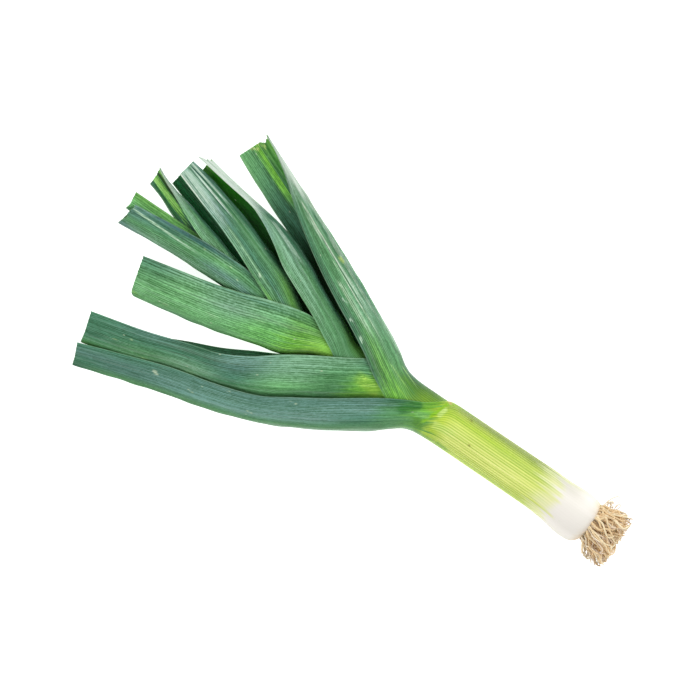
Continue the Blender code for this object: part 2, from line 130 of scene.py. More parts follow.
LEAVES = [dict(
    name="leaf_left_1", side=-1, collar=-122.0, veins=56,
    fold=[(-135, -16.8), (-141, -18.3), (-150, -24.4), (-160, -32.6), (-172, -40.8), (-200, -58),
          (-230, -73), (-260, -83.5), (-300, -94.3), (-360, -112)],
    front=[(-126, 15.5), (-131, 11.8), (-135, 8.6), (-140, 5), (-150, 0), (-165, -8.5), (-180, -18.5),
           (-200, -32.2), (-220, -45), (-240, -57), (-270, -67), (-300, -74.5), (-335, -86.3),
           (-365.6, -97.2)],
    back=[(-126, 15.5), (-131, 11.8), (-135, 8.4), (-140, 4.4), (-150, -1.5), (-165, -11), (-180, -21),
          (-200, -35), (-220, -48), (-240, -60), (-270, -70), (-300, -77.5), (-365, -99)],
    contrast=1.25, sag=4.6, tip_rise=5.4, tip_fall=4.2,
    cut=[(-1, 0.6), (0, 0.0), (0.5, 0.4), (1, 0.0)],
    # Along the bulb and shank the rows are palest a little below the top and darker towards both
    # edges, most at the +Y edge: partly painted highlight and painted shade, over their own white to
    # lime colour.
    outer=[
        (2, "tan cream white white cream tan"),
        (-5, "pearl white white white white pearl"),
        (-24, "pearl white white white pearl straw"),
        (-33, "straw butter butter butter straw straw"),
        (-50, "celery celery lemon lemon celery moss moss"),
        (-90, "celery celery lemon lemon lime moss moss"),
        (-112, "celery celery lemon lemon lime moss herb"),
        (-126, "meadow grass lime lime grass grass"),
        (-136, "grey meadow meadow apple meadow"),
        (-155, "grey leaf leaf leaf dark"),
        (-172, "grey leaf pine blue teal"),
        (-200, "grey leaf blue blue teal"),
        (-260, "leaf leaf blue blue teal"),
        (-330, "leaf leaf teal teal pine"),
        (-360, "dark pine pine teal pine"),
    ],
    inner=[(-112, "lime lime"), (-150, "leaf leaf"), (-355, "pine pine")],
    upper_marks=[
        ((-133, 9), (-139, 2), 3.4, (104, 158, 36), 0.6),
        ((-143, 0), (-151, -8), 5.0, (48, 104, 48), 0.75),
        ((-138, -9), (-134, -14), 4.0, (84, 138, 44), 0.55),
        ((-128, -5), (-108, -2.4), 4.2, (216, 238, 136), 0.55),
        ((-127, 3), (-126, 8), 2.6, (206, 232, 140), 0.6),
        ((-126.5, 13), (-129.5, 4.6), 1.5, (136, 184, 14), 0.9),
        ((-129.5, 4.6), (-135.8, -11.6), 1.7, (140, 196, 40), 0.7),
        ((-119, -14.6), (-106, -15.4), 3.0, (104, 158, 48), 0.6),
        ((-128, 14.7), (-125, 14.2), 1.6, (196, 172, 112), 0.7),
        ((-107, 12), (-106.5, 12), 1.2, (120, 118, 40), 0.65),
        ((-98.5, -3), (-97.5, -3.1), 1.1, (140, 118, 70), 0.7),
        ((-308, -84), (-306.8, -83.6), 1.7, (190, 204, 176), 0.7),
        ((-217, -47), (-216.5, -46.8), 0.8, (190, 208, 170), 0.6),
        ((-239, -70), (-238.5, -69.8), 0.8, (190, 208, 170), 0.6),
        ((-281, -81), (-280.5, -80.8), 0.8, (190, 208, 170), 0.6),
        ((-258, -66), (-257.2, -65.7), 0.8, (190, 208, 170), 0.6),
        ((-140, -5), (-134, -2.6), 3.0, (128, 184, 118), 0.5),
    ],
), dict(
    name="leaf_right_1", side=1, collar=-150.0, veins=56,
    fold=[(-158, 15.2), (-165, 17.8), (-175, 24.3), (-190, 32.2), (-210, 42.2), (-230, 51.7),
          (-260, 65), (-300, 82.5), (-337.5, 98)],
    front=[(-153, -14.1), (-158, -12.2), (-165, -8.5), (-180, -0.5), (-192, 7.4), (-210, 17.5),
           (-230, 27.7), (-250, 38.6), (-270, 51), (-290, 65), (-308, 79.5), (-325, 91), (-337, 97)],
    back=[(-153, -14.2), (-158, -12.7), (-165, -9.5), (-180, -2.5), (-200, 8), (-220, 17),
          (-240, 26.6), (-260, 37.4), (-280, 47), (-300, 55), (-320, 63.5), (-345.5, 75)],
    turn_front=[(0.5, 90), (1, 80)],
    turn_back=[(0.5, 90), (0.75, 110), (1, 140)],
    contrast=1.4, sag=2.6, tip_rise=3.0, tip_fall=8.5,
    cut=[(-1, 0.0), (-0.6, 0.6), (-0.42, 1.2), (-0.3, 4.2), (-0.2, 2.2), (-0.12, 3.0), (0, 0.0),
         (0.3, 1.0), (1, 3.0)],
    outer=[
        (-126, "herb herb grass lime"),
        (-140, "forest herb grass lime"),
        (-156, "pine forest meadow apple apple"),
        (-180, "grey leaf leaf meadow dark"),
        (-215, "leaf pine mint leaf dark"),
        (-255, "leaf pine leaf leaf dark"),
        # Toward the tip the pale grey and silver on the fold side are partly painted highlight, over
        # the wax's own pale cast.
        (-285, "grey mint mint leaf pine"),
        (-320, "silver grey grey silver grey"),
    ],
    # Painted shadow: the darkest green deep in the gutter, where the upper half shades it.
    inner=[(-140, "lime lime"), (-200, "meadow pine dark"), (-255, "forest night night"),
           (-290, "apple pine pine"), (-345, "apple leaf fresh")],
    upper_marks=[
        # Painted highlight over the wax's own pale cast: these four whitish streaks along the fold.
        ((-337, 98.5), (-282, 73), 3.2, (234, 244, 236), 0.75),
        ((-290, 77.4), (-225, 48), 1.3, (210, 228, 208), 0.5),
        ((-292, 73), (-236, 47), 0.7, (216, 232, 208), 0.65),
        ((-283, 67), (-205, 34), 1.3, (190, 214, 186), 0.55),
        ((-282, 71.4), (-214, 41.2), 0.6, (60, 98, 78), 0.7),
        ((-270, 62), (-204, 31), 0.6, (58, 98, 72), 0.7),
        # Painted highlight over the wax's own pale cast: these three pale streaks.
        ((-262, 63), (-190, 30), 1.1, (190, 214, 186), 0.45),
        ((-250, 51), (-188, 23), 0.6, (196, 222, 186), 0.7),
        ((-238, 41), (-196, 21), 1.2, (190, 216, 184), 0.5),
        ((-246, 55), (-243, 54), 1.6, (190, 215, 120), 0.8),
        ((-176, 13.4), (-152, 4.6), 0.5, (160, 206, 110), 0.5),
        ((-168, 16.6), (-148, 9), 0.5, (156, 196, 120), 0.45),
        ((-164, 3.4), (-146, -2.4), 0.6, (150, 204, 84), 0.5),
        ((-186, 27), (-150, 12), 0.9, (60, 100, 62), 0.6),
        ((-178, 6), (-158, -2), 2.0, (66, 118, 62), 0.5),
        ((-164, 11), (-148, 8), 2.6, (84, 130, 40), 0.45),
        ((-226.5, 32), (-225.5, 32.4), 1.1, (196, 218, 196), 0.75),
        ((-215.5, 23.2), (-214.5, 23), 1.1, (190, 214, 190), 0.7),
        ((-203, 17), (-200, 14.5), 1.0, (176, 206, 176), 0.7),
    ],
    gutter_marks=[
        ((-345, 90.6), (-290, 66), 4.0, (128, 196, 74), 0.9),
        ((-345, 97), (-298, 75), 2.2, (62, 122, 48), 0.8),
        ((-341, 84), (-335, 91), 1.6, (205, 228, 140), 0.7),
    ],
), dict(
    name="leaf_left_2", side=-1, collar=-162.0, veins=60,
    fold=[(-168, -13.4), (-174, -16.4), (-180, -20.5), (-190, -27.5), (-200, -34), (-215, -43.4),
          (-230, -52.9), (-250, -62.5), (-270, -68.8), (-300, -76), (-330, -86.5), (-364, -95.6)],
    front=[(-168, 12.3), (-176, 11.4), (-185, 9.4), (-192, 6.6), (-200, 1.5), (-220, -10),
           (-240, -22.5), (-260, -37.5), (-280, -48), (-300, -54), (-330, -63.6), (-369.8, -73.6)],
    back=[(-168, 12.3), (-176, 11.4), (-185, 9.4), (-195, 5.5), (-210, -2.5), (-230, -15.5),
          (-243, -24), (-260, -33), (-280, -43.8), (-300, -52.4), (-330, -65.6), (-369, -76)],
    contrast=1.25, sag=2.6, tip_rise=4.6, tip_fall=4.6,
    cut=[(-1, 0.5), (0, 0.0), (0.6, 0.6), (1, 0.0)],
    outer=[
        (-168, "sprout sprout sprout apple leaf"),
        (-185, "meadow meadow apple leaf pine"),
        (-200, "meadow leaf leaf leaf mint"),
        (-230, "leaf leaf fresh mint mint"),
        (-262, "leaf leaf pine teal blue"),
        (-290, "leaf leaf mint pine dark"),
        (-325, "leaf leaf leaf pine teal"),
        (-360, "meadow leaf pine pine pine"),
    ],
    inner=[(-150, "lime lime"), (-200, "meadow pine dark"), (-365, "pine pine dark")],
    upper_marks=[
        ((-170, -8), (-192, -7), 6.5, (170, 225, 90), 0.7),
        ((-345, -80.5), (-344, -80.3), 0.8, (180, 210, 150), 0.6),
        ((-322, -80.5), (-318, -79.5), 0.8, (140, 190, 110), 0.5),
        ((-334, -74.5), (-333, -74.2), 0.8, (176, 206, 150), 0.5),
        ((-290, -71), (-284, -69), 0.9, (130, 180, 120), 0.45),
    ],
), dict(
    name="leaf_right_2", side=1, collar=-196.0, veins=52,
    fold=[(-203, 11.6), (-210, 15.4), (-220, 20.5), (-240, 29.5), (-260, 39.5), (-280, 47.6),
          (-300, 52.2), (-330, 56.6), (-361, 61.8)],
    front=[(-203, -10.1), (-208, -7.2), (-213, -3.4), (-225, 3), (-240, 11), (-260, 20), (-275, 27),
           (-290, 37), (-305, 45.4), (-318, 50.4), (-340, 53.6), (-369, 58)],
    back=[(-203, -10.2), (-209, -8.2), (-216, -5.5), (-230, -1), (-250, 6), (-270, 13), (-290, 21.5),
          (-310, 31), (-330, 40.5), (-361, 52)],
    contrast=1.3, sag=2.0, tip_rise=4.0, tip_fall=4.2,
    cut=[(-1, 0.0), (0, 1.5), (0.3, 3.5), (0.5, 1.5), (0.65, 3.2), (0.8, 0.8), (1, 0.0)],
    outer=[
        (-205, "apple meadow leaf leaf leaf"),
        (-230, "forest pine leaf leaf leaf"),
        (-255, "dark pine leaf mint leaf"),
        (-280, "dark dark pine mint leaf"),
        (-300, "grey pine pine mint steel"),
        # Painted highlight over the wax's own pale cast: the whitish tip.
        (-325, "frost silver steel steel silver"),
        (-350, "frost frost frost frost silver"),
    ],
    inner=[(-190, "lime lime"), (-230, "bottle bottle bottle"), (-310, "bottle bottle bottle"),
           (-350, "emerald emerald emerald"), (-361, "meadow meadow meadow")],
    upper_marks=[
        # Painted highlight over the wax's own pale cast: the white tip.
        ((-369, 58), (-306, 49.5), 5.0, (240, 252, 243), 0.8),
        ((-369, 55.4), (-316, 47), 0.6, (150, 178, 160), 0.7),
        ((-369, 57.4), (-300, 47.6), 0.5, (168, 192, 176), 0.7),
        ((-366, 60), (-322, 54.4), 0.5, (176, 198, 182), 0.7),
        # Painted highlight over the wax's own pale cast: the pale streak along the fold.
        ((-300, 50), (-262, 36), 1.6, (190, 216, 196), 0.5),
        ((-280, 30), (-230, 10), 1.4, (150, 190, 158), 0.45),
    ],
    gutter_marks=[
        ((-362, 53.5), (-359, 61), 1.2, (110, 160, 80), 0.8),
    ],
), dict(
    name="leaf_left_3", side=-1, collar=-214.0, veins=52,
    fold=[(-222, -11.2), (-230, -15.7), (-243, -23.4), (-260, -28), (-280, -33.5), (-300, -38.5),
          (-320, -42.5), (-340, -46.2), (-354, -48.2)],
    front=[(-221, 9.7), (-230, 10.4), (-240, 10.1), (-250, 8.6), (-270, 3), (-290, -4), (-310, -9.6),
           (-335, -15.3), (-361, -21)],
    back=[(-221, 9.7), (-230, 10), (-240, 9), (-250, 7), (-270, 1), (-290, -6), (-310, -11.6),
          (-335, -17.3), (-361, -22.4)],
    contrast=1.4, sag=1.6, tip_rise=4.2, tip_fall=4.2,
    cut=[(-1, 0.4), (-0.2, 0.4), (0, 2.4), (0.12, 1.0), (0.3, 0.2), (1, 0.0)],
    outer=[
        (-221, "sprout sprout sprout meadow leaf"),
        (-238, "meadow apple apple meadow leaf"),
        (-258, "meadow bright bright fresh mint"),
        (-290, "fresh fresh fresh mint mint"),
        (-320, "mint fresh fresh fresh mint"),
        (-350, "fresh fresh fresh leaf pine"),
    ],
    inner=[(-200, "lime lime"), (-250, "leaf leaf leaf")],
    upper_marks=[
        ((-356, -46), (-350, -45.8), 1.4, (136, 186, 100), 0.5),
        ((-330, -41), (-327, -40.2), 1.0, (156, 196, 140), 0.45),
        ((-300, -29), (-294, -27.5), 1.1, (150, 194, 146), 0.4),
        ((-272, -14), (-264, -12.4), 1.1, (150, 196, 140), 0.4),
        ((-318, -13), (-250, 4), 1.8, (86, 136, 112), 0.5),
    ],
), dict(
    name="leaf_right_3", side=1, collar=-238.0, veins=46,
    fold=[(-244, 9.2), (-250, 12.6), (-256, 17), (-262, 21.2), (-270, 25.4), (-290, 31.8),
          (-310, 38.6), (-330, 44.6), (-350, 49.8), (-370, 53.2)],
    front=[(-245, -7.2), (-253, -5.2), (-262, -1.6), (-271, 2.5), (-290, 10.5), (-310, 19.2),
           (-330, 26.8), (-350, 33.2), (-372, 40.6)],
    back=[(-245, -7.3), (-253, -6.4), (-262, -4.2), (-280, 0.6), (-300, 7.5), (-320, 15), (-340, 22.4),
          (-358, 27.6), (-373.5, 32.5)],
    contrast=1.25, sag=1.2, tip_rise=3.8, tip_fall=4.0,
    lift=[(0, 0), (20, 0.3), (200, 0.3)],
    cut=[(-1, 0.0), (-0.3, 0.5), (0, 0.4), (0.6, 0.5), (1, 0.0)],
    outer=[
        (-245, "leaf leaf meadow meadow apple"),
        (-262, "pine leaf meadow pine meadow"),
        (-285, "dark dark leaf pine leaf"),
        (-310, "dark pine leaf pine mint"),
        (-335, "pine pine leaf teal steel"),
        (-355, "pine teal mint steel silver"),
        (-369, "blue steel mint steel silver"),
    ],
    inner=[(-230, "lime lime"), (-270, "jade jade jade"), (-373, "jade jade jade")],
    upper_marks=[
        # Painted highlight over the wax's own pale cast: the pale band near the tip.
        ((-371, 45.5), (-322, 28.5), 3.8, (204, 230, 214), 0.5),
        ((-326, 30), (-270, 8), 1.8, (150, 194, 150), 0.5),
        ((-287, 14), (-286, 13), 1.4, (176, 202, 170), 0.7),
        ((-300, 36), (-256, 18), 1.6, (60, 105, 68), 0.5),
        ((-371, 50.8), (-318, 36.4), 0.9, (44, 84, 70), 0.9),
        ((-371, 48.6), (-312, 31.9), 0.8, (50, 92, 76), 0.85),
        ((-371, 49.7), (-322, 35.6), 0.6, (204, 228, 214), 0.8),
        ((-371, 51.9), (-330, 42.2), 0.6, (200, 224, 210), 0.8),
        ((-371, 42.8), (-336, 30.8), 0.7, (74, 116, 94), 0.75),
        ((-371, 40.6), (-340, 29.4), 0.6, (198, 222, 208), 0.7),
    ],
), dict(
    name="leaf_left_4", side=-1, collar=-266.0, veins=34,
    fold=[(-272, -7.4), (-285, -8.2), (-303, -7.4), (-330, -7.8), (-360, -9.2), (-389, -11.4)],
    front=[(-272, 7.4), (-285, 10.4), (-300, 12), (-320, 12), (-345, 9.9), (-365, 7.8), (-386, 5.4)],
    back=[(-272, 5.5), (-285, 5.6), (-300, 5.6), (-320, 5), (-345, 3), (-365, 0.5), (-387.5, -2)],
    least_turn=116,
    contrast=1.15, sag=0.8, tip_rise=5.4, tip_fall=5.4,
    lift=[(0, 0), (20, 0.35), (200, 0.35)],
    cut=[(-1, 0.2), (0, 0.0), (0.3, 0.4), (0.55, 2.2), (0.64, 0.6), (0.78, 0.4), (0.88, 1.2),
         (1, 0.0)],
    outer=[
        (-272, "leaf leaf leaf leaf leaf"),
        (-290, "leaf fresh blue leaf pine"),
        (-310, "leaf mint blue fresh teal"),
        (-335, "leaf mint leaf leaf teal"),
        (-360, "pine mint leaf pine blue"),
        (-386, "teal teal leaf teal blue"),
    ],
    inner=[(-250, "lime lime"), (-300, "leaf leaf leaf")],
    upper_marks=[
        ((-387, 2.2), (-328, 1.6), 1.1, (176, 208, 178), 0.8),
        # Painted shade: the dark line beside the ridge, on the fold's shaded side.
        ((-386, 4.6), (-334, 4.4), 1.4, (52, 94, 72), 0.65),
        ((-374, 7.0), (-302, 10.8), 2.4, (50, 90, 92), 0.7),
        ((-386, -8.6), (-300, -6.4), 1.6, (130, 172, 138), 0.4),
        ((-297, 2), (-296.6, 2), 0.8, (180, 204, 156), 0.6),
        ((-330, 7), (-329.5, 7), 0.9, (180, 204, 156), 0.6),
        ((-308, 7), (-307.6, 7), 0.8, (180, 204, 156), 0.6),
    ],
), dict(
    name="leaf_right_4", side=1, collar=-282.0, veins=28,
    fold=[(-290, 7), (-300, 11.2), (-315, 16.3), (-330, 20.4), (-345, 24.6), (-360, 28.2),
          (-375, 31.4), (-386.5, 37)],
    front=[(-288, -4), (-298, -1.5), (-308, 2.6), (-320, 7.6), (-335, 12), (-350, 18.2), (-365, 25.4),
           (-376, 30.2), (-386, 35.8)],
    back=[(-288, -4), (-298, -2), (-308, 1), (-320, 4.8), (-335, 8), (-350, 10.8), (-360, 13.6),
          (-374, 19.6), (-386, 23.2)],
    turn_back=[(0.5, 90), (0.7, 110), (1, 135)],
    contrast=1.6, sag=0.6, tip_rise=2.6, tip_fall=4.2,
    cut=[(-1, 0.0), (-0.5, 0.6), (-0.3, 0.0), (-0.15, 1.6), (0, 0.0), (0.5, 1.0), (1, 2.0)],
    outer=[
        (-287, "fresh leaf leaf mint blue"),
        (-320, "pine pine leaf leaf mint"),
        (-350, "pine pine leaf mint fresh"),
        (-386, "grey silver silver silver silver"),
    ],
    inner=[(-270, "lime lime"), (-310, "sprout sprout pine pine"), (-386, "sprout bright pine pine")],
    upper_marks=[
        ((-388, 37.6), (-345, 25), 1.1, (168, 192, 180), 0.6),
    ],
    gutter_marks=[
        ((-388, 30.4), (-344, 12.6), 2.4, (136, 204, 96), 0.9),
        # Painted shadow: the dark line beside the bright midrib, in the gutter under the upper half.
        ((-387, 34.0), (-343, 16.2), 1.1, (16, 52, 22), 0.9),
        ((-388, 26.6), (-345, 9.2), 1.0, (34, 92, 42), 0.8),
        ((-388.5, 29.2), (-344.5, 11.4), 0.6, (150, 226, 118), 0.95),
        ((-387.5, 32.0), (-343.5, 14.2), 0.6, (130, 206, 90), 0.9),
    ],
), dict(
    name="leaf_left_5", side=-1, collar=-300.0, veins=22,
    fold=[(-310, -2.4), (-330, -2), (-350, -1.2), (-370, -0.4), (-390.5, 0.2)],
    front=[(-308, 5), (-325, 7.2), (-345, 7.2), (-365, 5.4), (-387, 3.6)],
    back=[(-308, 7), (-325, 11.5), (-345, 13.1), (-370, 13.2), (-391, 13.3)],
    contrast=1.2, sag=0.2, tip_rise=2.6, tip_fall=2.8,
    cut=[(-1, 0.0), (-0.5, 1.2), (0, 0.4), (1, 0.0)],
    outer=[
        (-280, "lime lime"),
        (-320, "leaf leaf"),
    ],
    inner=[(-290, "lime lime"), (-320, "bright bright bright"), (-391, "bright fresh meadow")],
)]

WAX_SHEEN = 0.02            # what the wax's gloss adds to every colour
GROOVE_LOSS = 1.22          # how much a tint is raised, since dark lines lower its mean
COLLAR_ROUNDING = 3.6       # over what length a leaf bends at its collar
SAMPLES_PER_VEIN = 4
VEIN_HEIGHT = 0.055         # how far a vein stands out of a sheath
VEIN_GROWTH = 0.045         # how much further it stands out of a blade
KEEL_HEIGHT = 0.35          # the ridge along a blade's fold
KEEL_WIDTH = 0.035          # as a share of half the leaf's width
WAVE_HEIGHT = 0.32          # how far a blade's face waves in and out
MARGIN_WIDTH = 2.6          # how far from its margin a blade's wall starts to thin
MARGIN_LOSS = 0.62          # what share of the wall is gone at the margin
NOISE_LENGTH = 420          # the length that a leaf's noise covers
LONG_MARK = 12              # a mark longer than this fades towards its ends
LOWEST = 0.05               # no leaf sinks lower than this over the table
SHEATH_STEP = 1.6           # rows along a sheath that shows
HIDDEN_STEP = 14.0          # rows along a sheath inside the shank
SHOWN_BEFORE_COLLAR = 26.0  # how far into the sheath of the leaf outside it a sheath may show
NEAR_COLLAR = 12            # how far past the collar the rows are closer together
NEAR_ROWS = 17
BLADE_STEP = 1.5            # rows along the rest of the blade


# ---- Curves, profiles and noise ----

def cubic(t, start, leave, end, arrive):
    """The curve from start to end with those slopes at its ends, read at t in 0..1."""
    return ((2 * t ** 3 - 3 * t ** 2 + 1) * start + (t ** 3 - 2 * t ** 2 + t) * leave
            + (3 * t ** 2 - 2 * t ** 3) * end + (t ** 3 - t ** 2) * arrive)


def hermite(knots, values, at):
    """The smooth curve through values at rising knots, read at an array of places. Its slope
    at a knot is the harmonic mean of the slopes beside it, so it never overshoots."""
    knots = np.asarray(knots, float)
    values = np.asarray(values, float)
    at = np.clip(at, knots[0], knots[-1])
    steps = np.diff(values) / np.diff(knots)
    left = steps[:-1]
    right = steps[1:]
    together = left * right > 0
    total = np.where(together, left + right, 1.0)
    middle = np.where(together, 2 * left * right / total, 0.0)
    slopes = np.array([steps[0], *middle, steps[-1]])
    i = np.clip(np.searchsorted(knots, at, side="right") - 1, 0, len(knots) - 2)
    span = knots[i + 1] - knots[i]
    t = (at - knots[i]) / span
    return cubic(t, values[i], span * slopes[i], values[i + 1], span * slopes[i + 1])


def profile(pairs, at):
    """A (place, value) list, rising or falling, read as a smooth curve."""
    return hermite(*zip(*sorted(pairs)), at)


def smoothstep(low, high, at):
    t = np.clip((at - low) / (high - low), 0.0, 1.0)
    return t * t * (3 - 2 * t)


class Outline:
    """A smooth plan curve through points, read by the fraction of its length."""

    def __init__(self, points):
        points = np.array(points, float)
        steps = np.hypot(*np.diff(points, axis=0).T)
        self.points = points
        self.knots = np.concatenate([[0.0], np.cumsum(steps)])
        self.length = self.knots[-1]

    def at(self, fraction):
        place = fraction * self.length
        return np.stack([hermite(self.knots, row, place) for row in self.points.T], axis=-1)


def value_noise(rng, cells_a, cells_b, a, b):
    """Smooth noise in -1..1 over two coordinates, each 0..1, on a grid of random values."""
    grid = rng.uniform(-1, 1, (cells_a + 2, cells_b + 2))
    a = np.clip(a, 0, 1) * cells_a
    b = np.clip(b, 0, 1) * cells_b
    i = np.minimum(a.astype(int), cells_a)
    j = np.minimum(b.astype(int), cells_b)
    s = smoothstep(0, 1, a - i)
    t = smoothstep(0, 1, b - j)
    return ((1 - s) * (1 - t) * grid[i, j] + s * (1 - t) * grid[i + 1, j]
            + (1 - s) * t * grid[i, j + 1] + s * t * grid[i + 1, j + 1])


def to_linear(color):
    """sRGB 0..255 to linear 0..1."""
    c = np.asarray(color, float) / 255.0
    return np.where(c <= 0.04045, c / 12.92, ((c + 0.055) / 1.055) ** 2.4)


def skin_color(color):
    """A leaf's base colour: its seen sRGB colour without the sheen of the wax on it."""
    return np.clip((to_linear(color) - WAX_SHEEN) / (1 - WAX_SHEEN), 0.002, 1.0)


def bundle_height(x):
    knots = np.array(BUNDLE_HEIGHT)
    slope = (knots[-1, 1] - knots[-2, 1]) / (knots[-1, 0] - knots[-2, 0])
    past = np.maximum(x - knots[-1, 0], 0.0)
    return np.interp(x, knots[:, 0], knots[:, 1]) + slope * past


# ---- A leaf's surfaces ----

def leaf_radius(rank):
    return OUTER_SHEATH_BORE + SHEATH_WALL - rank * (SHEATH_WALL + NEST_GAP)


def leaf_outline(leaf, rank, key):
    """One of a blade's plan outlines, from its sheath's side at the collar."""
    side = leaf["side"] if key == "fold" else -leaf["side"]
    return Outline([(leaf["collar"], side * leaf_radius(rank))] + leaf[key])


def sheath_points(leaf, rank, x, across):
    """Outer and inner points of the closed sheath at x, around it by across in -1..1."""
    angle = math.pi * across
    radius = leaf_radius(rank)
    bore = radius - SHEATH_WALL + 0 * x
    outer_radius = profile(SHANK_PROFILE, x) if rank == 0 else radius
    bore = np.minimum(bore, outer_radius - 0.4)
    drift = profile(BULB_DRIFT, x) if rank == 0 else 0.0
    height = bundle_height(x)

    def ring(r, shift):
        return np.stack([x + 0 * angle, shift + leaf["side"] * r * np.cos(angle),
                         height + r * np.sin(angle)], axis=-1)

    return ring(outer_radius, drift), ring(bore, 0.0)


def blade_points(leaf, rank, distance, across):
    """Outer and inner points of the blade at a distance past the collar."""
    radius = leaf_radius(rank)
    fraction = distance / leaf_outline(leaf, rank, "fold").length
    fold_at, front_at, back_at = [leaf_outline(leaf, rank, key).at(fraction)
                                  for key in ("fold", "front", "back")]
    upper = across >= 0
    margin = np.where(upper[..., None], front_at, back_at)
    unroll = np.maximum(profile(UNROLL, distance), leaf.get("least_turn", 90.0))
    turns = []
    for key in ("turn_front", "turn_back"):
        turned = unroll
        if key in leaf:
            turned = np.where(fraction > leaf[key][0][0], profile(leaf[key], fraction), unroll)
        turns.append(turned)
    turn = np.radians(np.where(upper, turns[0], turns[1]))
    held = profile(NARROWING, distance)
    lift = profile(leaf["lift"], distance) if "lift" in leaf else 0.0
    rise = leaf["tip_rise"] + (radius - leaf["tip_rise"]) * held + lift
    fall = leaf["tip_fall"] + (radius - leaf["tip_fall"]) * held + lift
    stand = np.where(upper, rise, fall)
    height = bundle_height(0.5 * (fold_at[..., 0] + front_at[..., 0]))
    height = height - leaf["sag"] * fraction ** 3
    wall = profile(BLADE_WALL, distance)
    to_margin = margin - fold_at
    length = np.linalg.norm(to_margin, axis=-1)
    direction = to_margin / length[..., None]
    width = length / (1 - np.cos(turn))
    angle = turn * np.abs(across)

    def surface(inset):
        reach = width - (width - inset) * np.cos(angle)
        up = np.where(upper, 1.0, -1.0) * (stand - inset) * np.sin(angle)
        plan = fold_at + direction * reach[..., None]
        return np.concatenate([plan, (height + up)[..., None]], axis=-1)

    return surface(0.0), surface(wall)


def grid_normals(points, towards):
    """Unit normals of a grid of points, on the side that towards points to."""
    along = np.gradient(points, axis=0)
    across = np.gradient(points, axis=1)
    normal = np.cross(along, across)
    normal /= np.maximum(np.linalg.norm(normal, axis=-1, keepdims=True), 1e-9)
    facing = np.sum(normal * towards, axis=-1, keepdims=True)
    return normal * np.where(facing < 0, -1.0, 1.0)


def blend_tints(stations, x, across):
    """The colour at each point, from rows of colours along x, each from fold to margin."""
    stations = sorted(stations)
    places = np.array([place for place, _ in stations], float)
    share = np.abs(across)
    rows = []
    for _, names in stations:
        colors = skin_color([SKIN[name] for name in names.split()])
        at = share * (len(colors) - 1)
        rows.append(np.stack([np.interp(at, np.arange(len(colors)), colors[:, channel])
                              for channel in range(3)], axis=-1))
    rows = np.array(rows)
    place = np.interp(x, places, np.arange(len(places)))
    low = np.minimum(place.astype(int), len(places) - 2)
    t = smoothstep(0.0, 1.0, place - low)[..., None]
    r, c = np.indices(x.shape)
    return rows[low, r, c] * (1 - t) + rows[low + 1, r, c] * t


def paint_marks(tint, points, half, shift, marks):
    """Lays marks over one half's colours on one face. Their ends are ragged, vein by vein."""
    place = points[..., :2].copy()
    place[..., 0] += shift
    for start, end, width, color, strength in marks:
        start = np.array(start, float)
        axis = np.array(end, float) - start
        length = np.linalg.norm(axis)
        t = np.clip(((place - start) @ axis) / length ** 2, 0, 1)
        distance = np.linalg.norm(place - start - t[..., None] * axis, axis=-1)
        share = strength * half * (1 - smoothstep(0.3 * width, width, distance))
        if length > LONG_MARK:
            share = share * smoothstep(0.0, 0.12, t + 0.03) * smoothstep(0.0, 0.45, 1.06 - t)
        tint = tint + (skin_color(color) - tint) * share[..., None]
    return tint


def round_collar(points, reach):
    """Eases the bend where the sheath turns into the blade. reach is each row's distance past
    the collar."""
    spacing = np.gradient(reach)
    eased = points.copy()
    for row in np.nonzero(np.abs(reach) < 4.5 * COLLAR_ROUNDING)[0]:
        width = COLLAR_ROUNDING * (1 - smoothstep(1.5, 4.5, abs(reach[row]) / COLLAR_ROUNDING))
        if width > 0.3:
            weight = spacing * np.exp(-0.5 * ((reach - reach[row]) / width) ** 2)
            eased[row] = np.tensordot(weight / weight.sum(), points, axes=(0, 0))
    return eased


def leaf_grid(leaf, rank):
    """Rows (place along the leaf) and columns (place across it) of a leaf's fine mesh."""
    columns = leaf["veins"] * SAMPLES_PER_VEIN + 1
    across = np.linspace(-1, 1, columns)
    start = SHANK_PROFILE[-1][0] if rank == 0 else INNER_SHEATH_START
    shown = start if rank == 0 else leaf["collar"] + SHOWN_BEFORE_COLLAR
    hidden_rows = [] if rank == 0 else list(np.arange(start, shown, -HIDDEN_STEP))
    sheath_rows = np.concatenate([hidden_rows, np.arange(shown, leaf["collar"], -SHEATH_STEP)])
    length = leaf_outline(leaf, rank, "fold").length
    near = np.linspace(0, NEAR_COLLAR, NEAR_ROWS)
    far = np.linspace(NEAR_COLLAR, length, int((length - NEAR_COLLAR) / BLADE_STEP) + 1)[1:]
    return across, sheath_rows, np.concatenate([near, far]), length


def leaf_surfaces(leaf, rank, rng):
    """The leaf's outer and inner grids of points, with what its colours are made from."""
    across, sheath_rows, blade_rows, length = leaf_grid(leaf, rank)
    x, a = np.meshgrid(sheath_rows, across, indexing="ij")
    sheath_outer, sheath_inner = sheath_points(leaf, rank, x, a)

    distance, b = np.meshgrid(blade_rows, across, indexing="ij")
    cut = np.interp(across, *np.array(leaf["cut"], float).T)
    # The knife leaves a slightly ragged edge.
    cut = cut + 0.22 * rng.uniform(-1, 1, len(across)) + 0.15
    near_end = smoothstep(length - 16.0, length, distance)
    distance = distance - near_end * cut[None, :]
    blade_outer, blade_inner = blade_points(leaf, rank, distance, b)

    outer = np.concatenate([sheath_outer, blade_outer])
    inner = np.concatenate([sheath_inner, blade_inner])
    reach = np.concatenate([leaf["collar"] - sheath_rows, blade_rows])
    outer = round_collar(outer, reach)
    inner = round_collar(inner, reach)
    across = np.concatenate([a, b])
    past = np.concatenate([x * 0 - 1e3, distance])
    along = np.concatenate([-x, distance - leaf["collar"]])
    to_end = np.concatenate([x * 0 + 1e3, length - distance - cut[None, :]])
    return outer, inner, across, past, along, to_end, len(sheath_rows)


